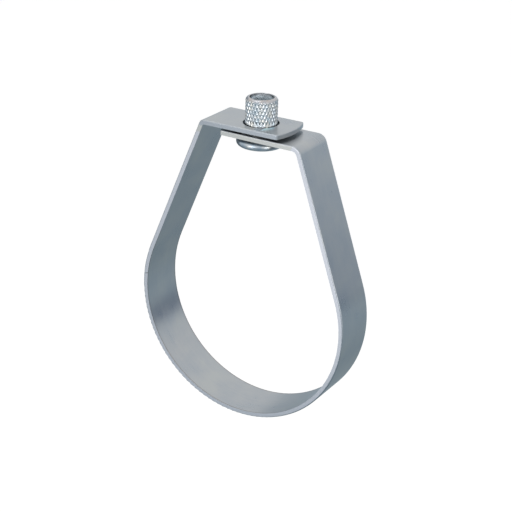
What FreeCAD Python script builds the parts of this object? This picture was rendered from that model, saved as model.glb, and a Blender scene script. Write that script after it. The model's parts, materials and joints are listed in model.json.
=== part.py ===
import FreeCAD, Part
import math
import os

import Sketcher
from FreeCAD import Vector

# Swivel ring hanger for a 3 inch pipe on a 3/8 inch rod
# One steel strip is rolled into a teardrop whose two ends lap over each other at the top. Both
# ends are punched, and a flanged, knurled rod nut stands up through them and lets the ring turn.
# The origin is the pipe's centre. +Z is up along the rod, +Y along the pipe, +X to the right.

SIZES = (
    # the strip
    ("strip_width", 20.4),
    ("strip_thickness", 1.9),
    ("outer_edge_round", 0.45),
    # a nick across the front edge, low on the left leg
    ("nick_height", 3.4),
    ("nick_climb", 1.3),
    ("nick_width", 0.35),
    ("nick_depth", 0.25),
    # the ring that carries the pipe
    ("ring_bore", 90.6),
    ("flap_rise", 28.5),
    # the two bends at the shoulders, measured from the rod's axis to the bend's centre
    ("left_bend_reach", 19.7),
    ("left_bend_radius", 0.6),
    ("right_bend_reach", 20.0),
    ("right_bend_radius", 2.0),
    # the two lapped ends
    ("flap_gap", 0.75),
    ("upper_flap_lift", 0.6),
    ("upper_flap_margin", 7.85),
    ("lower_flap_margin", 7.15),
    ("flap_end_radius", 27.0),
    ("flap_corner_round", 0.8),
    # the rod nut
    ("nut_offset", 1.2),
    ("hole_clearance", 0.8),
    ("seat_gap", 0.3),
    ("knurl_diameter", 12.7),
    ("knurl_depth", 0.42),
    ("knurl_half_pitch", 1.42),
    ("knurl_starts", 28),
    ("barrel_height", 15.4),
    ("shoulder_round", 1.4),
    ("flange_diameter", 19.0),
    ("flange_thickness", 4.0),
    ("rim_round", 1.7),
    ("thread_bore", 7.94),
    ("mouth_diameter", 9.6),
    ("mouth_depth", 3.2),
    ("lower_mouth_diameter", 8.9),
)

# The strip is cut this much longer than its finished ends, which are then trimmed to an arc
TRIM_ALLOWANCE = 1.0

# Lengths and places closer than this are the same
NEAR = 0.01

# Flat steps that make up the quarter round of the nut's shoulder
SHOULDER_STEPS = 4

# Corners of the knurl's facets closer than this are joined
SEWING = 1e-6

doc = FreeCAD.newDocument("swivel_ring_hanger")


def make_sheet():
    """The driving sizes, one row each, with the name beside the value."""
    sheet = doc.addObject("Spreadsheet::Sheet", "sizes")
    for row, (name, value) in enumerate(SIZES, start=1):
        sheet.set(f"A{row}", name)
        sheet.set(f"B{row}", str(value))
        sheet.setAlias(f"B{row}", name)
    doc.recompute()
    return sheet


sizes = make_sheet()


def origin_plane(body, role):
    """One of a body's own three origin planes."""
    return next(feature for feature in body.Origin.OriginFeatures if feature.Role == role)


def new_sketch(body, name, role, height=None):
    """An empty sketch on an origin plane, lifted to a height that an expression gives."""
    sketch = body.newObject("Sketcher::SketchObject", name)
    sketch.AttachmentSupport = [(origin_plane(body, role), "")]
    sketch.MapMode = "FlatFace"
    if height:
        sketch.setExpression("AttachmentOffset.Base.z", height)
    return sketch


def constrain(sketch, kind, *references):
    """A constraint with no size of its own."""
    return sketch.addConstraint(Sketcher.Constraint(kind, *references))


def dimension(sketch, name, expression, kind, *references):
    """A named dimension, bound to an expression in the sheet's sizes."""
    index = constrain(sketch, kind, *references)
    sketch.renameConstraint(index, name)
    sketch.setExpression(f"Constraints.{name}", expression)


# The strip's section along its length


def leg_lean(centre, radius, ring_radius):
    """The lean from the vertical of the leg that is tangent to a bend and to the ring, in radians.

    The leg's normal makes the angle lean with the horizontal. Its product with the bend's centre
    is the ring's radius less the bend's.
    """
    distance = math.hypot(centre.x, centre.y)
    slope = math.atan2(centre.y, abs(centre.x))
    return slope - math.acos((ring_radius - radius) / distance)


def on_circle(centre, radius, angle):
    return centre + Vector(math.cos(angle), math.sin(angle), 0) * radius


def draw_side(sketch, left, right, offset):
    """One side of the strip, from the upper flap's end round to the lower flap's end.

    Seven edges, all bending the same way: upper flap, left bend, left leg, ring, right leg,
    right bend, lower flap. The offset is 0 on the inner side and the thickness on the outer.
    """
    ring_radius = sizes.ring_bore / 2
    left_lean = leg_lean(left, sizes.left_bend_radius, ring_radius)
    right_lean = leg_lean(right, sizes.right_bend_radius, ring_radius)
    lift = math.radians(sizes.upper_flap_lift)
    centre = Vector(0, 0, 0)
    bends = (
        (left, sizes.left_bend_radius + offset, math.pi / 2 + lift, math.pi - left_lean),
        (centre, ring_radius + offset, math.pi - left_lean, 2 * math.pi + right_lean),
        (right, sizes.right_bend_radius + offset, right_lean, math.pi / 2),
    )
    starts = [on_circle(middle, radius, first) for middle, radius, first, last in bends]
    ends = [on_circle(middle, radius, last) for middle, radius, first, last in bends]
    arcs = [
        Part.ArcOfCircle(Part.Circle(middle, Vector(0, 0, 1), radius), first, last)
        for middle, radius, first, last in bends
    ]
    upper_end = Vector(upper_reach() + TRIM_ALLOWANCE, starts[0].y, 0)
    lower_end = Vector(-lower_reach() - TRIM_ALLOWANCE, ends[2].y, 0)
    chain = [
        Part.LineSegment(starts[0], upper_end),
        arcs[0],
        Part.LineSegment(ends[0], starts[1]),
        arcs[1],
        Part.LineSegment(ends[1], starts[2]),
        arcs[2],
        Part.LineSegment(ends[2], lower_end),
    ]
    first = sketch.addGeometry(chain[0], False)
    for edge in chain[1:]:
        sketch.addGeometry(edge, False)
    constrain(sketch, "Tangent", first, 1, first + 1, 1)
    for edge in range(first + 1, first + 6):
        constrain(sketch, "Tangent", edge, 2, edge + 1, 1)
    return first


def hole_radius():
    return sizes.knurl_diameter / 2 + sizes.hole_clearance


def upper_reach():
    """How far the upper flap's end lies to the right of the pipe's centre."""
    return sizes.nut_offset + hole_radius() + sizes.upper_flap_margin


def lower_reach():
    """How far the lower flap's end lies to the left of the pipe's centre."""
    return hole_radius() + sizes.lower_flap_margin - sizes.nut_offset


HOLE_RADIUS = "(sizes.knurl_diameter / 2 + sizes.hole_clearance)"
UPPER_REACH = f"(sizes.nut_offset + {HOLE_RADIUS} + sizes.upper_flap_margin)"
LOWER_REACH = f"({HOLE_RADIUS} + sizes.lower_flap_margin - sizes.nut_offset)"
LOWER_FLAP_TOP = "(sizes.ring_bore / 2 + sizes.flap_rise)"
BETWEEN_FLAPS = f"({LOWER_FLAP_TOP} + sizes.flap_gap / 2)"


def draw_section(sketch):
    """The strip seen along the pipe: two parallel sides, closed at both flap ends."""
    lower_top = sizes.ring_bore / 2 + sizes.flap_rise
    left = Vector(
        sizes.nut_offset - sizes.left_bend_reach,
        lower_top + sizes.flap_gap - sizes.left_bend_radius,
        0,
    )
    right = Vector(
        sizes.nut_offset + sizes.right_bend_reach,
        lower_top - sizes.strip_thickness - sizes.right_bend_radius,
        0,
    )
    inner = draw_side(sketch, left, right, 0)
    outer = draw_side(sketch, left, right, sizes.strip_thickness)
    for step in (0, 6):
        start = sketch.Geometry[inner + step].EndPoint
        finish = sketch.Geometry[outer + step].EndPoint
        closing = sketch.addGeometry(Part.LineSegment(start, finish), False)
        constrain(sketch, "Coincident", inner + step, 2, closing, 1)
        constrain(sketch, "Coincident", outer + step, 2, closing, 2)
        constrain(sketch, "Perpendicular", inner + step, closing)
        constrain(sketch, "Parallel", inner + step, outer + step)
    constrain(sketch, "Coincident", inner + 3, 3, -1, 1)
    constrain(sketch, "Coincident", outer + 3, 3, -1, 1)
    constrain(sketch, "Coincident", inner + 1, 3, outer + 1, 3)
    constrain(sketch, "Coincident", inner + 5, 3, outer + 5, 3)
    constrain(sketch, "Horizontal", inner + 6)
    radii = (
        ("ring", 3, "sizes.ring_bore / 2"),
        ("left_bend", 1, "sizes.left_bend_radius"),
        ("right_bend", 5, "sizes.right_bend_radius"),
    )
    for name, step, radius in radii:
        for side, edge, more in (("inner", inner, ""), ("outer", outer, " + sizes.strip_thickness")):
            value = sketch.Geometry[edge + step].Radius
            dimension(sketch, f"{name}_{side}", radius + more, "Radius", edge + step, value)
    left_height = f"{LOWER_FLAP_TOP} + sizes.flap_gap - sizes.left_bend_radius"
    right_height = f"{LOWER_FLAP_TOP} - sizes.strip_thickness - sizes.right_bend_radius"
    left_side = "sizes.left_bend_reach - sizes.nut_offset"
    right_side = "sizes.right_bend_reach + sizes.nut_offset"
    dimension(sketch, "left_side", left_side, "DistanceX", inner + 1, 3, -1, 1, -left.x)
    dimension(sketch, "left_height", left_height, "DistanceY", -1, 1, inner + 1, 3, left.y)
    dimension(sketch, "right_side", right_side, "DistanceX", -1, 1, inner + 5, 3, right.x)
    dimension(sketch, "right_height", right_height, "DistanceY", -1, 1, inner + 5, 3, right.y)
    lift = math.radians(sizes.upper_flap_lift)
    dimension(sketch, "lift", "sizes.upper_flap_lift", "Angle", inner, lift)
    upper_end = f"{UPPER_REACH} + {TRIM_ALLOWANCE}"
    lower_end = f"{LOWER_REACH} + {TRIM_ALLOWANCE}"
    upper_value = upper_reach() + TRIM_ALLOWANCE
    lower_value = lower_reach() + TRIM_ALLOWANCE
    dimension(sketch, "upper_end", upper_end, "DistanceX", -1, 1, inner, 2, upper_value)
    dimension(sketch, "lower_end", lower_end, "DistanceX", inner + 6, 2, -1, 1, lower_value)


def draw_end_trim(sketch, side, reach, reach_text):
    """The waste beyond a flap's rounded end, in plan: an arc closed by three lines outside it.

    The side is +1 for the upper flap, which ends to the right, and -1 for the lower one.
    """
    radius = sizes.flap_end_radius
    half = sizes.strip_width / 2 + TRIM_ALLOWANCE
    spread = math.asin(half / radius)
    middle = Vector(side * (reach - radius), 0, 0)
    facing = 0 if side > 0 else math.pi
    circle = Part.Circle(middle, Vector(0, 0, 1), radius)
    arc = sketch.addGeometry(Part.ArcOfCircle(circle, facing - spread, facing + spread), False)
    first = sketch.Geometry[arc].StartPoint
    last = sketch.Geometry[arc].EndPoint
    beyond = side * (reach + 2 * TRIM_ALLOWANCE)
    corners = [last, Vector(beyond, last.y, 0), Vector(beyond, first.y, 0), first]
    lines = [
        sketch.addGeometry(Part.LineSegment(corners[k], corners[k + 1]), False) for k in range(3)
    ]
    constrain(sketch, "Coincident", arc, 2, lines[0], 1)
    constrain(sketch, "Coincident", lines[0], 2, lines[1], 1)
    constrain(sketch, "Coincident", lines[1], 2, lines[2], 1)
    constrain(sketch, "Coincident", lines[2], 2, arc, 1)
    constrain(sketch, "Horizontal", lines[0])
    constrain(sketch, "Vertical", lines[1])
    constrain(sketch, "Horizontal", lines[2])
    constrain(sketch, "PointOnObject", arc, 3, -1)
    dimension(sketch, "end_radius", "sizes.flap_end_radius", "Radius", arc, radius)
    width = f"sizes.strip_width + 2 * {TRIM_ALLOWANCE}"
    low, high = (1, 2) if side > 0 else (2, 1)
    dimension(sketch, "width", width, "DistanceY", arc, low, arc, high, 2 * half)
    to_centre = f"{reach_text} - sizes.flap_end_radius"
    beyond_text = f"{reach_text} + 2 * {TRIM_ALLOWANCE}"
    offset = side * middle.x
    if side > 0:
        order = (arc, 3, -1, 1)
        outward = (-1, 1, lines[1], 1)
    else:
        order = (-1, 1, arc, 3)
        outward = (lines[1], 1, -1, 1)
    dimension(sketch, "centre", f"-({to_centre})", "DistanceX", *order, -offset)
    dimension(sketch, "beyond", beyond_text, "DistanceX", *outward, abs(beyond))


def middle_of(edge):
    first, last = edge.ParameterRange
    return edge.valueAt((first + last) / 2)


def is_end_corner(edge):
    """True for an upright edge at a corner of a flap's end."""
    low, high = (edge.valueAt(end) for end in edge.ParameterRange)
    is_upright = edge.Length - abs(high.z - low.z) < NEAR
    return is_upright and abs(middle_of(edge).y) > sizes.strip_width / 2 - NEAR


def is_on_side(edge):
    """True for an edge that borders one of the strip's two sheared sides."""
    first, last = edge.ParameterRange
    points = [edge.valueAt(first), middle_of(edge), edge.valueAt(last)]
    return all(abs(point.y) > sizes.strip_width / 2 - NEAR for point in points)


def faces_out(edge, solid):
    """True where the steel lies between the edge and the pipe: an edge of the outer side."""
    point = middle_of(edge)
    towards_pipe = Vector(-point.x, 0, -point.z).normalize() * (sizes.strip_thickness / 4)
    off_side = Vector(0, -math.copysign(sizes.strip_width / 8, point.y), 0)
    return solid.isInside(point + towards_pipe + off_side, NEAR, False)


def round_edges(body, name, radius, chosen):
    """A fillet on the edges of the body's tip for which chosen is true."""
    tip = body.Tip
    names = [f"Edge{k}" for k, edge in enumerate(tip.Shape.Edges, start=1) if chosen(edge)]
    fillet = body.newObject("PartDesign::Fillet", name)
    fillet.Base = (tip, names)
    fillet.setExpression("Radius", radius)
    doc.recompute()
    return fillet


def cut(body, name, sketch, along_normal, length=None):
    """A pocket from a sketch, along its normal or against it, through all or to a length."""
    pocket = body.newObject("PartDesign::Pocket", name)
    pocket.Profile = sketch
    pocket.Reversed = along_normal
    if length:
        pocket.setExpression("Length", length)
    else:
        pocket.Type = "ThroughAll"
    before = pocket.BaseFeature.Shape.Volume
    doc.recompute()
    if pocket.Shape.Volume > before - NEAR:
        raise ValueError(f"{name} cuts nothing")


def place_corner(sketch, name, kind, line, text, value):
    """A line's start, held at a distance from the origin along one axis, on either side of it."""
    if value < 0:
        dimension(sketch, name, f"-({text})", kind, line, 1, -1, 1, -value)
    else:
        dimension(sketch, name, text, kind, -1, 1, line, 1, value)


def draw_outline(sketch, corners):
    """A closed line through corners, each placed by two expressions from the sketch's origin.

    A corner is a name, the expressions of its place across and of its height, and the two values
    that they start from. A place or a height of None lies on the upright axis or the base.
    """
    points = [Vector(across, height, 0) for name, texts, (across, height) in corners]
    count = len(points)
    lines = [
        sketch.addGeometry(Part.LineSegment(points[k], points[(k + 1) % count]), False)
        for k in range(count)
    ]
    for k in range(count):
        constrain(sketch, "Coincident", lines[k - 1], 2, lines[k], 1)
    for line, (name, (across_text, height_text), (across, height)) in zip(lines, corners):
        if across_text is None:
            constrain(sketch, "PointOnObject", line, 1, -2)
        else:
            place_corner(sketch, f"{name}_across", "DistanceX", line, across_text, across)
        if height_text is None:
            constrain(sketch, "PointOnObject", line, 1, -1)
        else:
            place_corner(sketch, f"{name}_height", "DistanceY", line, height_text, height)
    return lines


def draw_nick(sketch):
    """A slanting slot across the strip's front edge, from the outer side up to the inner side."""
    outside = -sizes.ring_bore / 2 - sizes.strip_thickness - TRIM_ALLOWANCE
    inside = TRIM_ALLOWANCE - sizes.ring_bore / 2
    outside_text = f"-sizes.ring_bore / 2 - sizes.strip_thickness - {TRIM_ALLOWANCE}"
    inside_text = f"{TRIM_ALLOWANCE} - sizes.ring_bore / 2"
    low = sizes.nick_height
    high = sizes.nick_height + sizes.nick_climb
    width = sizes.nick_width
    corners = (
        ("outer_low", (outside_text, "sizes.nick_height"), (outside, low)),
        ("inner_low", (inside_text, "sizes.nick_height + sizes.nick_climb"), (inside, high)),
        (
            "inner_high",
            (inside_text, "sizes.nick_height + sizes.nick_climb + sizes.nick_width"),
            (inside, high + width),
        ),
        ("outer_high", (outside_text, "sizes.nick_height + sizes.nick_width"), (outside, low + width)),
    )
    draw_outline(sketch, corners)


def make_band():
    """The folded strip: padded section, trimmed ends, punched holes, softened edges and a nick."""
    body = doc.addObject("PartDesign::Body", "band")
    body.Label = "band"
    section = new_sketch(body, "band_section", "XZ_Plane")
    draw_section(section)
    doc.recompute()
    pad = body.newObject("PartDesign::Pad", "strip")
    pad.Profile = section
    pad.Midplane = True
    pad.setExpression("Length", "sizes.strip_width")
    doc.recompute()

    upper_waste = new_sketch(body, "upper_end_waste", "XY_Plane", BETWEEN_FLAPS)
    draw_end_trim(upper_waste, 1, upper_reach(), UPPER_REACH)
    cut(body, "upper_end", upper_waste, True)
    lower_waste = new_sketch(body, "lower_end_waste", "XY_Plane", BETWEEN_FLAPS)
    draw_end_trim(lower_waste, -1, lower_reach(), LOWER_REACH)
    cut(body, "lower_end", lower_waste, False, "sizes.strip_thickness + sizes.flap_gap")

    hole = new_sketch(body, "rod_hole", "XY_Plane", f"{LOWER_FLAP_TOP} - 2 * sizes.strip_thickness")
    circle = Part.Circle(Vector(sizes.nut_offset, 0, 0), Vector(0, 0, 1), hole_radius())
    ring = hole.addGeometry(circle, False)
    constrain(hole, "PointOnObject", ring, 3, -1)
    offset = ("DistanceX", -1, 1, ring, 3, sizes.nut_offset)
    dimension(hole, "from_centre", "sizes.nut_offset", *offset)
    dimension(hole, "radius", HOLE_RADIUS, "Radius", ring, hole_radius())
    cut(body, "rod_holes", hole, True)

    round_edges(body, "end_corners", "sizes.flap_corner_round", is_end_corner)
    solid = body.Tip.Shape
    round_edges(
        body, "outer_edges", "sizes.outer_edge_round",
        lambda edge: is_on_side(edge) and faces_out(edge, solid),
    )
    nick = new_sketch(body, "nick_outline", "XZ_Plane", "sizes.strip_width / 2")
    draw_nick(nick)
    cut(body, "nick", nick, False, "sizes.nick_depth")
    return body


def revolve(body, name, sketch):
    """A full turn of a sketch about its own vertical axis."""
    turned = body.newObject("PartDesign::Revolution", name)
    turned.Profile = sketch
    turned.ReferenceAxis = (sketch, ["V_Axis"])
    turned.Angle = 360
    doc.recompute()
    return turned


def make_flange():
    """The nut's flange: a turned disc whose conical seat falls from the barrel's foot to its rim.

    The barrel's foot is at height 0. The cone is tangent to the round rim, so it centres the nut
    in the punched hole.
    """
    body = doc.addObject("PartDesign::Body", "nut_flange")
    sketch = new_sketch(body, "flange_section", "XZ_Plane")
    foot = Vector(sizes.knurl_diameter / 2, 0, 0)
    rim_radius = sizes.rim_round
    centre = Vector(sizes.flange_diameter / 2 - rim_radius, rim_radius - sizes.flange_thickness, 0)
    to_centre = centre - foot
    fall = math.atan2(-to_centre.y, to_centre.x) - math.asin(rim_radius / to_centre.Length)
    circle = Part.Circle(centre, Vector(0, 0, 1), rim_radius)
    arc = Part.ArcOfCircle(circle, -math.pi / 2, math.pi / 2 - fall)
    base_centre = Vector(0, -sizes.flange_thickness, 0)
    rim = sketch.addGeometry(arc, False)
    seat = sketch.addGeometry(Part.LineSegment(arc.EndPoint, foot), False)
    top = sketch.addGeometry(Part.LineSegment(foot, Vector(0, 0, 0)), False)
    axis = sketch.addGeometry(Part.LineSegment(Vector(0, 0, 0), base_centre), False)
    base = sketch.addGeometry(Part.LineSegment(base_centre, arc.StartPoint), False)
    constrain(sketch, "Tangent", rim, 2, seat, 1)
    constrain(sketch, "Coincident", seat, 2, top, 1)
    constrain(sketch, "Coincident", top, 2, -1, 1)
    constrain(sketch, "Coincident", axis, 1, -1, 1)
    constrain(sketch, "Coincident", axis, 2, base, 1)
    constrain(sketch, "Tangent", base, 2, rim, 1)
    constrain(sketch, "Horizontal", top)
    constrain(sketch, "Vertical", axis)
    constrain(sketch, "Horizontal", base)
    dimension(sketch, "foot", "sizes.knurl_diameter / 2", "DistanceX", -1, 1, seat, 2, foot.x)
    dimension(sketch, "rim", "sizes.rim_round", "Radius", rim, rim_radius)
    across = "sizes.flange_diameter / 2 - sizes.rim_round"
    dimension(sketch, "rim_centre", across, "DistanceX", -1, 1, rim, 3, centre.x)
    depth = ("DistanceY", axis, 2, -1, 1, sizes.flange_thickness)
    dimension(sketch, "thickness", "sizes.flange_thickness", *depth)
    revolve(body, "flange_turning", sketch)
    return body


def make_bore_tool():
    """The space that the rod's thread takes: a plain mouth and a cone above, a countersink below."""
    body = doc.addObject("PartDesign::Body", "nut_bore")
    sketch = new_sketch(body, "bore_section", "XZ_Plane")
    bore = sizes.thread_bore / 2
    mouth = sizes.mouth_diameter / 2
    lower_mouth = sizes.lower_mouth_diameter / 2 + TRIM_ALLOWANCE
    top = sizes.barrel_height + TRIM_ALLOWANCE
    mouth_floor = sizes.barrel_height - sizes.mouth_depth
    bottom = -sizes.flange_thickness - TRIM_ALLOWANCE
    bore_text = "sizes.thread_bore / 2"
    mouth_text = "sizes.mouth_diameter / 2"
    lower_text = f"sizes.lower_mouth_diameter / 2 + {TRIM_ALLOWANCE}"
    top_text = f"sizes.barrel_height + {TRIM_ALLOWANCE}"
    floor_text = "sizes.barrel_height - sizes.mouth_depth"
    bottom_text = f"-sizes.flange_thickness - {TRIM_ALLOWANCE}"
    cone_foot = f"{floor_text} - ({mouth_text} - {bore_text})"
    lower_cone_foot = f"{bottom_text} + ({lower_text} - {bore_text})"
    corners = (
        ("axis_low", (None, bottom_text), (0, bottom)),
        ("lower_mouth", (lower_text, bottom_text), (lower_mouth, bottom)),
        ("lower_cone", (bore_text, lower_cone_foot), (bore, bottom + lower_mouth - bore)),
        ("upper_cone", (bore_text, cone_foot), (bore, mouth_floor - mouth + bore)),
        ("mouth_floor", (mouth_text, floor_text), (mouth, mouth_floor)),
        ("mouth_top", (mouth_text, top_text), (mouth, top)),
        ("axis_high", (None, top_text), (0, top)),
    )
    draw_outline(sketch, corners)
    revolve(body, "bore_turning", sketch)
    return body


def barrel_rings():
    """The barrel's rings from bottom to top: each a height, a low radius and a high radius.

    Between the flange and the shoulder the rings alternate round the barrel between the two
    radii, half a pitch apart, so that the facets form rows of diamond points with V grooves
    between them. On the shoulder both radii shrink along a quarter circle.
    """
    crest = sizes.knurl_diameter / 2
    root = crest - sizes.knurl_depth
    shoulder_foot = sizes.barrel_height - sizes.shoulder_round
    rings = [(-sizes.flange_thickness / 2, root, root)]
    rows = int((shoulder_foot - sizes.knurl_half_pitch / 2) / sizes.knurl_half_pitch)
    first = (shoulder_foot - (rows - 1) * sizes.knurl_half_pitch) / 2
    rings.append((first - sizes.knurl_half_pitch / 2, root, root))
    for row in range(rows):
        rings.append((first + row * sizes.knurl_half_pitch, root, crest))
    for step in range(1, SHOULDER_STEPS + 1):
        angle = step / SHOULDER_STEPS * math.pi / 2
        height = shoulder_foot + sizes.shoulder_round * math.sin(angle)
        radius = crest - sizes.shoulder_round * (1 - math.cos(angle))
        rings.append((height, radius, radius))
    return rings


def make_barrel():
    """The nut's knurled barrel: a closed solid of plane facets, filled to its axis."""
    rings = barrel_rings()
    around = 2 * int(sizes.knurl_starts)
    points = []
    for row, (height, low, high) in enumerate(rings):
        for step in range(around):
            radius = high if (row + step) % 2 == 0 else low
            angle = step * 2 * math.pi / around
            points.append(Vector(radius * math.cos(angle), radius * math.sin(angle), height))
    triangles = []
    for row in range(len(rings) - 1):
        for step in range(around):
            here = row * around + step
            beside = row * around + (step + 1) % around
            above = here + around
            above_beside = beside + around
            if (row + step) % 2 == 0:
                triangles += [(here, beside, above), (beside, above_beside, above)]
            else:
                triangles += [(here, beside, above_beside), (here, above_beside, above)]
    bottom_centre = len(points)
    points.append(Vector(0, 0, rings[0][0]))
    points.append(Vector(0, 0, rings[-1][0]))
    top_row = (len(rings) - 1) * around
    for step in range(around):
        beside = (step + 1) % around
        triangles.append((bottom_centre, beside, step))
        triangles.append((bottom_centre + 1, top_row + step, top_row + beside))
    skin = Part.Shape()
    skin.makeShapeFromMesh((points, triangles), SEWING)
    barrel = doc.addObject("Part::Feature", "nut_barrel")
    barrel.Shape = Part.Solid(skin)
    return barrel


def make_nut():
    """The rod nut: flange and knurled barrel in one, bored through, seated under the lower flap."""
    blank = doc.addObject("Part::Fuse", "nut_blank")
    blank.Base = make_flange()
    blank.Tool = make_barrel()
    blank.Refine = True
    nut = doc.addObject("Part::Cut", "swivel_nut")
    nut.Label = "swivel_nut"
    nut.Base = blank
    nut.Tool = make_bore_tool()
    nut.Refine = True
    nut.setExpression("Placement.Base.x", "sizes.nut_offset")
    seat = f"{LOWER_FLAP_TOP} - sizes.strip_thickness - sizes.seat_gap"
    nut.setExpression("Placement.Base.z", seat)
    doc.recompute()
    return nut


def check_all(parts):
    """Every object of the document is up to date, and every sub-part is one valid solid."""
    for item in doc.Objects:
        if "Invalid" in item.State or "Error" in item.State:
            raise ValueError(f"{item.Name} failed: {item.State}")
    for part in parts:
        if part.Shape.isNull() or not part.Shape.isValid() or len(part.Shape.Solids) != 1:
            raise ValueError(f"{part.Label} is not one valid solid")


def write_all(parts):
    os.makedirs("parts", exist_ok=True)
    for part in parts:
        part.Shape.exportStep(f"parts/{part.Label}.step")


parts = [make_band(), make_nut()]
check_all(parts)
write_all(parts)
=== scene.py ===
# Swivel ring hanger: the finish of the rolled strip, and the rod nut with its knurl and thread
import json
import math

import bpy
import numpy as np
from mathutils import Matrix, Vector


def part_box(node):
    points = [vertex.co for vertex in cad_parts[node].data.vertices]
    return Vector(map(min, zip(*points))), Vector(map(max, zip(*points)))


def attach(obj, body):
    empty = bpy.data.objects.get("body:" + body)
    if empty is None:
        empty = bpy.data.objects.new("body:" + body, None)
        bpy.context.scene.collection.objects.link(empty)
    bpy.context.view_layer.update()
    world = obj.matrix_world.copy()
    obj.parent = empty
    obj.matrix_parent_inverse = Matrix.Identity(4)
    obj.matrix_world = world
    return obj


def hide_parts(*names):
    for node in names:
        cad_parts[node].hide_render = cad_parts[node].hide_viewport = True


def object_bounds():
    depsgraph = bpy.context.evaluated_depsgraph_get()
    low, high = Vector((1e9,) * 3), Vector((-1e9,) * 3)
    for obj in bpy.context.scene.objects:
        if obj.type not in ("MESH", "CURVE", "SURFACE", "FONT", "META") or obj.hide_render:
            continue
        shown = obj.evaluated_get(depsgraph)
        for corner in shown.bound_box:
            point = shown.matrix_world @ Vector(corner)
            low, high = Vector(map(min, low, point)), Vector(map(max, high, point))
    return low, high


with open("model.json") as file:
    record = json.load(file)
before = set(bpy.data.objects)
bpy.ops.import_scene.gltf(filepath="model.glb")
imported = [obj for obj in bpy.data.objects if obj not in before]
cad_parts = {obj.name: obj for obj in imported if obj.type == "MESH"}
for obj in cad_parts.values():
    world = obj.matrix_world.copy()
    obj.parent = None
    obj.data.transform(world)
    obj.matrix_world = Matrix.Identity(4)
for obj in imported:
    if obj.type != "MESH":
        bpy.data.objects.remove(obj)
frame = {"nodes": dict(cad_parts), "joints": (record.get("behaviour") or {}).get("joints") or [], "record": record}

CAD_LOW, CAD_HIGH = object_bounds()

# One millimetre, in the scene's metres
MM = 0.001

# The camera: degrees round and above the ring and of roll, its distance in millimetres, the point
# it looks at, to the right of the pipe's middle and above it, its focal length in pixels of the
# square picture, and its sensor's width
CAMERA_AZIMUTH = 30.854
CAMERA_ELEVATION = 23.62
CAMERA_ROLL = 1.939
CAMERA_DISTANCE = 574.4
LOOK_RIGHT = 1.41
LOOK_UP = 18.42
FOCAL_PIXELS = 1409.4
PICTURE_PIXELS = 512
SENSOR = 36.0

# The rod nut, in millimetres from its axis and from its seat under the lower flap
NUT_PLACE = Vector(frame["joints"][0]["pos_m"])
NUT_LOW, NUT_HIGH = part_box("swivel_nut")
FLANGE_RADIUS = (NUT_HIGH.x - NUT_LOW.x) / 2 / MM
FLANGE_THICKNESS = (NUT_PLACE.z - NUT_LOW.z) / MM
BARREL_HEIGHT = (NUT_HIGH.z - NUT_PLACE.z) / MM
BARREL_RADIUS = 6.35
SHOULDER_ROUND = 1.4
RIM_ROUND = 1.7
MOUTH_RADIUS = 4.8
MOUTH_DEPTH = 3.2
MOUTH_EDGE = 0.12
LOWER_MOUTH_RADIUS = 4.45

# The nut's thread, and where its flanks begin and end, as shares of the way from a crest's middle
# to a root's
THREAD_MINOR = frame["record"]["mounts"][0]["dims"]["r_mm"]
THREAD_MAJOR = 9.525 / 2
THREAD_PITCH = 25.4 / 16
FLANK_START = 1 / 4
FLANK_END = 7 / 8

# The strip, in millimetres: half its width, the radius of its middle line round the pipe, and how
# far the upper flap's highest point is above the nut's seat
STRIP_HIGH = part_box("band")[1]
STRIP_HALF_WIDTH = STRIP_HIGH.y / MM
STRIP_MIDDLE_RADIUS = 46.25
FLAP_TOP = (STRIP_HIGH.z - NUT_PLACE.z) / MM

# The nut's knurl: how deep its grooves are, how many wind up each way, half a diamond's height,
# how much steeper than sharp points the diamonds are, so that their tops are flat, how far above
# the seat the knurl begins and is full, and how far below the nut's top it starts to die out
KNURL_DEPTH = 0.44
KNURL_STARTS = 28
KNURL_HALF_PITCH = 1.42
CREST_FLAT = 1.1
KNURL_BEGIN = FLAP_TOP - 0.1
KNURL_FULL = FLAP_TOP + 0.5
KNURL_FADE = 1.6

# Rows and columns to one diamond of the knurl, and rows to one turn of the thread
KNURL_SAMPLES = 12
THREAD_SAMPLES = 11


# The nut's surface


def wave(turns):
    """A triangle wave: 0 at whole numbers, 1 half way between them."""
    return 1 - np.abs(2 * (turns - np.floor(turns)) - 1)


def smooth_step(value, low, high):
    """0 below low, 1 above high and an S curve between them."""
    share = np.clip((value - low) / (high - low), 0, 1)
    return share * share * (3 - 2 * share)


def run(start, end, count):
    """Points along a straight line, without its last one."""
    share = np.linspace(0, 1, count, endpoint=False)[:, None]
    return np.array(start) * (1 - share) + np.array(end) * share


def arc(centre, radius, first, last, count):
    """Points along an arc between two angles in degrees, without its last one."""
    angle = np.radians(np.linspace(first, last, count, endpoint=False))
    return np.array(centre) + radius * np.stack([np.cos(angle), np.sin(angle)], axis=1)


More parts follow.
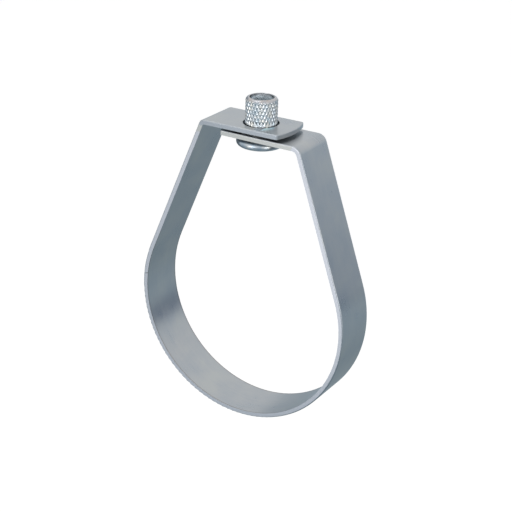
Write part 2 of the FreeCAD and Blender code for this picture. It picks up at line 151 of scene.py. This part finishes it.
def nut_profile():
    """The nut's section as two lines of (radius, height): the outside upwards, the bore downwards.

    Outside: flange base, round rim, conical seat, barrel, quarter round shoulder and top face.
    Bore: plain mouth, cone, threaded hole and countersink, back to where the outside starts.
    The seat is the tangent from the barrel's foot to the rim's circle. The last number of each
    line and arc is how many points it gets.
    """
    rim = (FLANGE_RADIUS - RIM_ROUND, RIM_ROUND - FLANGE_THICKNESS)
    across, down = rim[0] - BARREL_RADIUS, -rim[1]
    fall = math.atan2(down, across) - math.asin(RIM_ROUND / math.hypot(down, across))
    seat_angle = 90 - math.degrees(fall)
    seat_edge = arc(rim, RIM_ROUND, seat_angle, 90, 1)[0]
    shoulder = BARREL_HEIGHT - SHOULDER_ROUND
    top_edge = BARREL_RADIUS - SHOULDER_ROUND
    rows = round(shoulder / (2 * KNURL_HALF_PITCH) * KNURL_SAMPLES)
    lip = MOUTH_RADIUS + MOUTH_EDGE
    outside = np.concatenate([
        run((LOWER_MOUTH_RADIUS, -FLANGE_THICKNESS), (rim[0], -FLANGE_THICKNESS), 4),
        arc(rim, RIM_ROUND, -90, seat_angle, 28),
        run(seat_edge, (BARREL_RADIUS, 0), 3),
        run((BARREL_RADIUS, 0), (BARREL_RADIUS, shoulder), rows),
        arc((top_edge, shoulder), SHOULDER_ROUND, 0, 90, 16),
        run((top_edge, BARREL_HEIGHT), (lip, BARREL_HEIGHT), 2),
    ])
    mouth_floor = BARREL_HEIGHT - MOUTH_DEPTH
    bore_top = mouth_floor - (MOUTH_RADIUS - THREAD_MINOR)
    bore_low = LOWER_MOUTH_RADIUS - THREAD_MINOR - FLANGE_THICKNESS
    turns = (bore_top - bore_low) / THREAD_PITCH
    bore = np.concatenate([
        arc((lip, BARREL_HEIGHT - MOUTH_EDGE), MOUTH_EDGE, 90, 180, 4),
        run((MOUTH_RADIUS, BARREL_HEIGHT - MOUTH_EDGE), (MOUTH_RADIUS, mouth_floor), 6),
        run((MOUTH_RADIUS, mouth_floor), (THREAD_MINOR, bore_top), 8),
        run((THREAD_MINOR, bore_top), (THREAD_MINOR, bore_low), round(turns * THREAD_SAMPLES)),
        run((THREAD_MINOR, bore_low), (LOWER_MOUTH_RADIUS, -FLANGE_THICKNESS), 5),
    ])
    return outside, bore


def knurl_groove(angle, height):
    """How deep the diamond knurl cuts into the barrel.

    Two sets of V grooves wind up the barrel, one each way. The depth at a point is that of the
    nearer groove. It begins at the upper flap's highest point and dies out over the shoulder.
    """
    around = angle / (2 * math.pi) * KNURL_STARTS
    up = height / (2 * KNURL_HALF_PITCH)
    crest = np.minimum(wave(around + up), wave(around - up))
    crest = np.minimum(CREST_FLAT * crest, 1)
    begin = smooth_step(height, KNURL_BEGIN, KNURL_FULL)
    end = smooth_step(height, BARREL_HEIGHT - KNURL_FADE, BARREL_HEIGHT)
    return KNURL_DEPTH * begin * (1 - end) * (1 - crest)


def threaded_radius(angle, height):
    """The bore's radius under the thread: flats at both diameters, and 60 degree flanks between."""
    turn = height / THREAD_PITCH - angle / (2 * math.pi)
    flank = np.clip((wave(turn) - FLANK_START) / (FLANK_END - FLANK_START), 0, 1)
    return THREAD_MINOR + (THREAD_MAJOR - THREAD_MINOR) * flank


def closed_surface(name, points):
    """A mesh from a grid of points in millimetres that closes on itself in both directions."""
    rows, columns = points.shape[:2]
    number = np.arange(rows * columns).reshape(rows, columns)
    beside = np.roll(number, -1, axis=1)
    above = np.roll(number, -1, axis=0)
    above_beside = np.roll(above, -1, axis=1)
    quads = np.stack([number, beside, above_beside, above], axis=-1).reshape(-1, 4)
    mesh = bpy.data.meshes.new(name)
    mesh.from_pydata(points.reshape(-1, 3) * MM, [], quads.tolist())
    mesh.validate()
    mesh.shade_smooth()
    piece = bpy.data.objects.new(name, mesh)
    bpy.context.scene.collection.objects.link(piece)
    return piece


def make_nut():
    """The nut: its profile turned about the rod's axis, with knurl outside and thread inside.

    Outside, the radius is the profile's less the knurl's groove. Below the plain mouth it is the
    larger of the profile's and the thread's, so that the thread runs out into the cones.
    """
    outside, bore = nut_profile()
    angle = np.linspace(0, 2 * math.pi, KNURL_STARTS * KNURL_SAMPLES, endpoint=False)[None, :]
    height = outside[:, 1:]
    knurled = outside[:, :1] - knurl_groove(angle, height)
    below_mouth = bore[:, 1:] < BARREL_HEIGHT - MOUTH_DEPTH
    threaded = np.where(below_mouth, np.maximum(bore[:, :1], threaded_radius(angle, bore[:, 1:])),
                        bore[:, :1])
    radius = np.concatenate([knurled, threaded])
    heights = np.concatenate([height, bore[:, 1:]]) + 0 * angle
    axis = NUT_PLACE / MM
    points = np.stack([
        axis.x + radius * np.cos(angle),
        axis.y + radius * np.sin(angle),
        axis.z + heights,
    ], axis=-1)
    piece = closed_surface("rod_nut", points)
    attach(piece, "rod_nut")
    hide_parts("swivel_nut")
    return piece


# Materials


def linear(colour):
    """An sRGB colour, written as six hex digits, as linear red, green, blue and alpha."""
    values = [int(colour[k:k + 2], 16) / 255 for k in (0, 2, 4)]
    return [v / 12.92 if v <= 0.04045 else ((v + 0.055) / 1.055) ** 2.4 for v in values] + [1]


def add(tree, kind, inputs=None, stops=(), **settings):
    """A new node with its settings, its inputs as values or links, and a ramp's colour stops."""
    made = tree.nodes.new(kind)
    for name, value in settings.items():
        setattr(made, name, value)
    for socket, value in (inputs or {}).items():
        if isinstance(value, bpy.types.NodeSocket):
            tree.links.new(value, made.inputs[socket])
        else:
            made.inputs[socket].default_value = value
    for number, (position, colour) in enumerate(stops):
        points = made.color_ramp.elements
        point = points[number] if number < 2 else points.new(position)
        point.position = position
        point.color = linear(colour)
    return made


def distance_from(tree, place, centre, axes):
    """How far a place is from a centre, measured along the axes whose number is 1."""
    away = add(tree, "ShaderNodeVectorMath", {0: place, 1: centre}, operation="SUBTRACT").outputs[0]
    flat = add(tree, "ShaderNodeVectorMath", {0: away, 1: axes}, operation="MULTIPLY").outputs[0]
    return add(tree, "ShaderNodeVectorMath", {0: flat}, operation="LENGTH").outputs["Value"]


def new_material(name):
    """An empty node material and its tree."""
    material = bpy.data.materials.new(name)
    material.use_nodes = True
    material.node_tree.nodes.clear()
    return material, material.node_tree


# The strip's patterns, in millimetres: the clouds of its coat, the lines that the rolls leave, and
# the coat's grain. Real roll lines and grain are finer, and these are as coarse as they need to be
# to show.
CLOUD_SIZE = 12
ROLL_LINE_LENGTH = 40
ROLL_LINE_WIDTH = 0.9
GRAIN_SIZE = 0.4
GRAIN_HEIGHT = 0.05

# How far from an edge the painted shade line inside the ring begins, and where it is full
EDGE_SHADE_START = 0.8
EDGE_SHADE_FULL = 0.1

# The painted light before the upper hole, a bluish bright patch that stands in for the nut's light
# and reflection on the flap: its middle, its radius, and the radius where it is full
PAINTED_LIGHT_PLACE = NUT_PLACE + Vector((3.7, -5.0, 0)) * MM
PAINTED_LIGHT_RADIUS = 5.5
PAINTED_LIGHT_CORE = 2

# How near the strip's side a point counts as on it, and how far below the upper flap's highest
# point the painted light shows. The flap rises by 0.36 mm to the right, so that the painted light
# shows on its right half only, and ends in a straight line on the left.
SIDE_SKIN = 0.03
TOP_SKIN = 0.1


def rolled_zinc_strip():
    """Cold rolled strip with a thin electroplated zinc coat.

    To the eye: a calm bluish grey sheen, soft warm and cool clouds where the coat varies, faint
    lines along the strip from the rolls, and painted shade: a darker line along both edges inside
    the ring, where they are rolled over a little. Before the upper hole there is painted light: a
    bluish bright patch that stands in for the nut's light on the flap. The sheared sides are
    brighter and rougher: warm on the lower flap, and duller on the upper one.
    """
    material, tree = new_material("rolled_zinc_strip")
    place = add(tree, "ShaderNodeTexCoord").outputs["Object"]
    part = add(tree, "ShaderNodeSeparateXYZ", {"Vector": place}).outputs
    from_middle = add(tree, "ShaderNodeMath", {0: part["Y"]}, operation="ABSOLUTE").outputs[0]

    # The clouds with the roll lines over them
    along, across = 1 / (ROLL_LINE_LENGTH * MM), 1 / (ROLL_LINE_WIDTH * MM)
    rolling = add(tree, "ShaderNodeMapping", {
        "Vector": place, "Scale": (along, across, along)}).outputs["Vector"]
    lines = add(tree, "ShaderNodeTexNoise", {
        "Vector": rolling, "Scale": 1, "Detail": 3}).outputs["Fac"]
    clouds = add(tree, "ShaderNodeTexNoise", {
        "Vector": place, "Scale": 1 / (CLOUD_SIZE * MM), "Detail": 4}).outputs["Fac"]
    mottle = add(tree, "ShaderNodeMix", {0: 0.2, 2: clouds, 3: lines}).outputs[0]
    face = add(tree, "ShaderNodeValToRGB", {"Fac": mottle}, stops=(
        (0.36, "A8ADB2"), (0.50, "AFB2B5"), (0.64, "B5B7B7"))).outputs["Color"]

    # Painted shade: a darker line along both edges, on the round part's inner face only
    near_edge = add(tree, "ShaderNodeMapRange", {
        "Value": from_middle,
        "From Min": (STRIP_HALF_WIDTH - EDGE_SHADE_START) * MM,
        "From Max": (STRIP_HALF_WIDTH - EDGE_SHADE_FULL) * MM,
    }, interpolation_type="SMOOTHSTEP").outputs[0]
    from_pipe = distance_from(tree, place, (0, 0, 0), (1, 0, 1))
    inside = add(tree, "ShaderNodeMath", {
        0: from_pipe, 1: STRIP_MIDDLE_RADIUS * MM}, operation="LESS_THAN").outputs[0]
    painted_edge_shade = add(tree, "ShaderNodeMath", {0: near_edge, 1: inside}, operation="MULTIPLY").outputs[0]
    face = add(tree, "ShaderNodeMix", {
        0: painted_edge_shade, 6: face, 7: linear("918F8D")}, data_type="RGBA").outputs[2]

    # The painted light and reflection from the nut, near the upper flap's highest point only
    from_painted_light = distance_from(tree, place, PAINTED_LIGHT_PLACE, (1, 1, 0))
    near_painted_light = add(tree, "ShaderNodeMapRange", {
        "Value": from_painted_light, "From Min": PAINTED_LIGHT_RADIUS * MM, "From Max": PAINTED_LIGHT_CORE * MM,
    }, interpolation_type="SMOOTHSTEP").outputs[0]
    on_top = add(tree, "ShaderNodeMath", {
        0: part["Z"], 1: STRIP_HIGH.z - TOP_SKIN * MM}, operation="GREATER_THAN").outputs[0]
    painted_light = add(tree, "ShaderNodeMath", {0: near_painted_light, 1: on_top}, operation="MULTIPLY").outputs[0]
    face = add(tree, "ShaderNodeMix", {
        0: painted_light, 6: face, 7: linear("D6F4FC")}, data_type="RGBA").outputs[2]

    # The sides' colour goes by height, in shares of 100 mm. Past the lower flap it is that of a
    # place 10 mm further down, so that the bend has the leg's colour.
    level = add(tree, "ShaderNodeMapRange", {
        "Value": part["Z"], "From Min": 0, "From Max": 100 * MM}).outputs[0]
    past_flap = add(tree, "ShaderNodeMapRange", {
        "Value": part["X"], "From Min": 20 * MM, "From Max": 25 * MM, "To Max": 0.1}).outputs[0]
    side_level = add(tree, "ShaderNodeMath", {
        0: level, 1: past_flap}, operation="SUBTRACT").outputs[0]
    sheared = add(tree, "ShaderNodeValToRGB", {"Fac": side_level}, stops=(
        (0.710, "D4D3D8"), (0.714, "CDCBC6"), (0.738, "CDCBC6"), (0.742, "B6B9BE"),
    )).outputs["Color"]
    on_side = add(tree, "ShaderNodeMath", {
        0: from_middle, 1: (STRIP_HALF_WIDTH - SIDE_SKIN) * MM,
    }, operation="GREATER_THAN").outputs[0]
    colour = add(tree, "ShaderNodeMix", {
        0: on_side, 6: face, 7: sheared}, data_type="RGBA").outputs[2]

    gloss = add(tree, "ShaderNodeMapRange", {
        "Value": mottle, "From Min": 0.35, "From Max": 0.65, "To Min": 0.27, "To Max": 0.31,
    }).outputs[0]
    roughness = add(tree, "ShaderNodeMix", {0: on_side, 2: gloss, 3: 0.34}).outputs[0]
    grain = add(tree, "ShaderNodeTexNoise", {
        "Vector": place, "Scale": 1 / (GRAIN_SIZE * MM), "Detail": 2}).outputs["Fac"]
    bump = add(tree, "ShaderNodeBump", {
        "Height": grain, "Strength": 0.08, "Distance": GRAIN_HEIGHT * MM}).outputs["Normal"]
    shader = add(tree, "ShaderNodeBsdfPrincipled", {
        "Base Color": colour, "Metallic": 1, "Roughness": roughness, "Normal": bump})
    add(tree, "ShaderNodeOutputMaterial", {"Surface": shader.outputs[0]})
    return material


# The nut's finish, in millimetres: the size of the clouds in its plating, and the radius within
# which the surface is the bore's
NUT_CLOUD_SIZE = 2.5
BORE_REACH = MOUTH_RADIUS + 0.1

# How much of the nut's height is its flange
FLANGE_SHARE = 0.21


def bright_zinc_nut():
    """Turned and knurled steel with bright zinc plating.

    To the eye: a bluish silver with faint warm tints, as thin bright zinc has, which flashes white
    on the knurl's points. The flange is cooler with a softer gloss, the bore is a little lighter,
    and the shoulder is greyer and warmer.
    """
    material, tree = new_material("bright_zinc_nut")
    place = add(tree, "ShaderNodeTexCoord").outputs["Object"]
    part = add(tree, "ShaderNodeSeparateXYZ", {"Vector": place}).outputs
    height = add(tree, "ShaderNodeMapRange", {
        "Value": part["Z"], "From Min": NUT_LOW.z, "From Max": NUT_HIGH.z}).outputs[0]

    clouds = add(tree, "ShaderNodeTexNoise", {
        "Vector": place, "Scale": 1 / (NUT_CLOUD_SIZE * MM), "Detail": 3}).outputs["Fac"]
    plated = add(tree, "ShaderNodeValToRGB", {"Fac": clouds}, stops=(
        (0.33, "BBC5CC"), (0.50, "CBCFD2"), (0.67, "D6D3CD"))).outputs["Color"]
    from_axis = distance_from(tree, place, NUT_PLACE, (1, 1, 0))
    inside = add(tree, "ShaderNodeMath", {
        0: from_axis, 1: BORE_REACH * MM}, operation="LESS_THAN").outputs[0]
    plated = add(tree, "ShaderNodeMix", {
        0: inside, 6: plated, 7: linear("DCE1E4")}, data_type="RGBA").outputs[2]
    tint = add(tree, "ShaderNodeValToRGB", {"Fac": height}, stops=(
        (0.20, "EEF1F4"), (0.22, "FFFFFF"), (0.93, "FFFFFF"), (0.97, "EEE6E4"),
    )).outputs["Color"]
    colour = add(tree, "ShaderNodeMix", {
        0: 1, 6: plated, 7: tint}, data_type="RGBA", blend_type="MULTIPLY").outputs[2]

    flange = add(tree, "ShaderNodeMath", {
        0: height, 1: FLANGE_SHARE}, operation="LESS_THAN").outputs[0]
    gloss = add(tree, "ShaderNodeMapRange", {
        "Value": clouds, "From Min": 0.3, "From Max": 0.7, "To Min": 0.17, "To Max": 0.22,
    }).outputs[0]
    roughness = add(tree, "ShaderNodeMix", {0: flange, 2: gloss, 3: 0.28}).outputs[0]
    shader = add(tree, "ShaderNodeBsdfPrincipled", {
        "Base Color": colour, "Metallic": 1, "Roughness": roughness})
    add(tree, "ShaderNodeOutputMaterial", {"Surface": shader.outputs[0]})
    return material


# The studio


def level_direction(azimuth):
    """The level direction at an azimuth, counted from the right in the photo towards the back."""
    return math.cos(azimuth), math.sin(azimuth), 0


def make_camera():
    """The camera: a level frame turned round, tipped up and rolled, looking at the target."""
    azimuth = math.radians(CAMERA_AZIMUTH)
    elevation = math.radians(CAMERA_ELEVATION)
    roll = math.radians(CAMERA_ROLL)
    level = Vector(level_direction(azimuth))
    back = Vector((
        math.sin(azimuth) * math.cos(elevation),
        -math.cos(azimuth) * math.cos(elevation),
        math.sin(elevation),
    ))
    upright = back.cross(level)
    right = level * math.cos(roll) + upright * math.sin(roll)
    up = upright * math.cos(roll) - level * math.sin(roll)
    data = bpy.data.cameras.new("camera")
    data.sensor_width = SENSOR
    data.lens = FOCAL_PIXELS / PICTURE_PIXELS * SENSOR
    camera = bpy.data.objects.new("camera", data)
    place = Matrix((right, up, back)).transposed().to_4x4()
    place.translation = (right * LOOK_RIGHT + up * LOOK_UP + back * CAMERA_DISTANCE) * MM
    camera.matrix_world = place
    bpy.context.scene.collection.objects.link(camera)
    bpy.context.scene.camera = camera


def seen_rays(tree):
    """1 for the rays that show the background: from the camera, mirrored or let through."""
    path = add(tree, "ShaderNodeLightPath").outputs
    seen = add(tree, "ShaderNodeMath", {
        0: path["Is Camera Ray"], 1: path["Is Glossy Ray"]}, operation="MAXIMUM").outputs[0]
    return add(tree, "ShaderNodeMath", {
        0: seen, 1: path["Is Transmission Ray"]}, operation="MAXIMUM").outputs[0]


# How bright the studio dome is for the light that it sheds, where 1 is white
DOME_LIGHT = 0.7

# The dark foot of the backdrop: how far its upper edge is tilted, the azimuth about which it is
# tilted, how far to either side of it the tilt reaches, how soft the edge is, and how far back the
# foot fades in. Apart from the azimuth, these are lengths on a dome with a radius of 1.
FOOT_TILT = 0.12
FOOT_TURN = math.radians(52)
FOOT_SPAN = 0.08
FOOT_SOFTNESS = 0.02
FOOT_SIDES = (0.46, 0.60)

# The azimuth of the dim corner's middle, and the cosines between which the corner fades in
CORNER_TURN = math.radians(155)
CORNER_SIDES = (0.84, 0.97)


def make_world():
    """A studio dome: white to the camera. The metal mirrors it white above and cool grey below.

    Behind the ring the dome has a dark bluish foot just under the horizon, whose upper edge drops
    towards the right, so that the strip's two sides turn dark at different heights. Behind on the
    left there is a dim corner, which the ring's right side mirrors near the bottom.
    """
    world = bpy.data.worlds.new("studio_dome")
    world.use_nodes = True
    tree = world.node_tree
    tree.nodes.clear()
    direction = add(tree, "ShaderNodeTexCoord").outputs["Generated"]
    part = add(tree, "ShaderNodeSeparateXYZ", {"Vector": direction}).outputs

    # The height that the colours go by: 0 straight down, 0.5 at the horizon and 1 straight up
    height = add(tree, "ShaderNodeMapRange", {
        "Value": part["Z"], "From Min": -1, "From Max": 1}).outputs[0]
    floor = add(tree, "ShaderNodeValToRGB", {"Fac": height}, stops=(
        (0.19, "9BAAB2"), (0.31, "AEBEC8"), (0.418, "B8C7D0"), (0.453, "66758D"),
    )).outputs["Color"]
    sky = add(tree, "ShaderNodeValToRGB", {"Fac": height}, stops=(
        (0.48, "DCE7EF"), (0.60, "E6EDF2"), (0.69, "F3F4F5"), (0.80, "F6F9FB"),
    )).outputs["Color"]
    front = add(tree, "ShaderNodeValToRGB", {"Fac": height}, stops=(
        (0.19, "9DAEB8"), (0.37, "BCC7CF"), (0.45, "E2E8EC"), (0.80, "F0F5F9"),
    )).outputs["Color"]

    # The back: floor and sky, which meet at the foot's tilted edge
    sideways = add(tree, "ShaderNodeVectorMath", {
        0: direction, 1: level_direction(FOOT_TURN + math.pi / 2),
    }, operation="DOT_PRODUCT").outputs["Value"]
    tilt = add(tree, "ShaderNodeMapRange", {
        "Value": sideways, "From Min": -FOOT_SPAN, "From Max": FOOT_SPAN,
        "To Min": -FOOT_TILT, "To Max": FOOT_TILT}).outputs[0]
    tilted = add(tree, "ShaderNodeMath", {0: part["Z"], 1: tilt}, operation="ADD").outputs[0]
    above_edge = add(tree, "ShaderNodeMapRange", {
        "Value": tilted, "From Min": -FOOT_SOFTNESS, "From Max": FOOT_SOFTNESS}).outputs[0]
    back = add(tree, "ShaderNodeMix", {
        0: above_edge, 6: floor, 7: sky}, data_type="RGBA").outputs[2]

    # Front, back and the dim corner together
    behind = add(tree, "ShaderNodeMapRange", {
        "Value": part["Y"], "From Min": FOOT_SIDES[0], "From Max": FOOT_SIDES[1],
    }, interpolation_type="SMOOTHSTEP").outputs[0]
    walls = add(tree, "ShaderNodeMix", {
        0: behind, 6: front, 7: back}, data_type="RGBA").outputs[2]
    to_corner = add(tree, "ShaderNodeVectorMath", {
        0: direction, 1: level_direction(CORNER_TURN),
    }, operation="DOT_PRODUCT").outputs["Value"]
    corner = add(tree, "ShaderNodeMapRange", {
        "Value": to_corner, "From Min": CORNER_SIDES[0], "From Max": CORNER_SIDES[1]}).outputs[0]
    dome = add(tree, "ShaderNodeMix", {
        0: corner, 6: walls, 7: linear("98A4AD")}, data_type="RGBA").outputs[2]

    camera_ray = add(tree, "ShaderNodeLightPath").outputs["Is Camera Ray"]
    backdrop = add(tree, "ShaderNodeMix", {
        0: camera_ray, 6: dome, 7: linear("FFFFFF")}, data_type="RGBA").outputs[2]
    shed = add(tree, "ShaderNodeBackground", {"Color": linear("FFFFFF"), "Strength": DOME_LIGHT})
    seen = add(tree, "ShaderNodeBackground", {"Color": backdrop, "Strength": 1})
    mix = add(tree, "ShaderNodeMixShader", {
        0: seen_rays(tree), 1: shed.outputs[0], 2: seen.outputs[0]})
    add(tree, "ShaderNodeOutputWorld", {"Surface": mix.outputs[0]})
    bpy.context.scene.world = world


# How far the floor lies below the ring, and how far it reaches from its middle
FLOOR_DROP = 250
FLOOR_REACH = 8000

# The glow that lifts the floor to white where it is seen, and that lights nothing
FLOOR_GLOW = 0.45


def make_floor():
    """A plain pale floor well below the hanging ring. The camera sees it white but for shadows."""
    level = CAD_LOW.z / MM - FLOOR_DROP
    corners = [(x * FLOOR_REACH * MM, y * FLOOR_REACH * MM, level * MM)
               for x, y in ((-1, -1), (1, -1), (1, 1), (-1, 1))]
    mesh = bpy.data.meshes.new("floor")
    mesh.from_pydata(corners, [], [(0, 1, 2, 3)])
    floor = bpy.data.objects.new("floor", mesh)
    bpy.context.scene.collection.objects.link(floor)
    material, tree = new_material("pale_floor")
    paint = add(tree, "ShaderNodeBsdfDiffuse", {"Color": linear("E6E6E6")}).outputs[0]
    glow = add(tree, "ShaderNodeEmission", {
        "Color": linear("FFFFFF"), "Strength": FLOOR_GLOW}).outputs[0]
    dark = add(tree, "ShaderNodeEmission", {"Strength": 0}).outputs[0]
    lift = add(tree, "ShaderNodeMixShader", {0: seen_rays(tree), 1: dark, 2: glow}).outputs[0]
    lifted = add(tree, "ShaderNodeAddShader", {0: paint, 1: lift}).outputs[0]
    add(tree, "ShaderNodeOutputMaterial", {"Surface": lifted})
    mesh.materials.append(material)
    floor.visible_glossy = False


def make_softbox(name, direction, distance, size, strength):
    """A soft lamp that faces the ring, in millimetres. Strength 1 mirrors as white."""
    away = Vector(direction).normalized()
    data = bpy.data.lights.new(name, "AREA")
    data.shape = "RECTANGLE"
    data.size, data.size_y = size[0] * MM, size[1] * MM
    data.energy = strength * math.pi * data.size * data.size_y
    lamp = bpy.data.objects.new(name, data)
    lamp.location = away * distance * MM
    lamp.rotation_mode = "QUATERNION"
    lamp.rotation_quaternion = away.to_track_quat("Z", "Y")
    lamp.visible_camera = False
    bpy.context.scene.collection.objects.link(lamp)


bpy.context.scene.view_settings.view_transform = "Standard"
make_camera()
make_world()
make_floor()
make_softbox("front_softbox", (-0.31, -0.88, -0.32), 500, (230, 140), 1.0)
make_softbox("right_softbox", (0.85, -0.50, -0.20), 500, (180, 260), 0.8)
make_softbox("front_strip_lamp", (-0.16, -0.96, 0.20), 600, (310, 260), 2.4)
make_softbox("right_strip_lamp", (0.87, -0.47, 0.14), 600, (280, 200), 1.9)
make_softbox("top_softbox", (-0.25, -0.20, 0.95), 600, (300, 300), 1.2)

band = frame["nodes"]["band"]
band.data.materials.clear()
band.data.materials.append(rolled_zinc_strip())

nut = make_nut()
nut.data.materials.append(bright_zinc_nut())
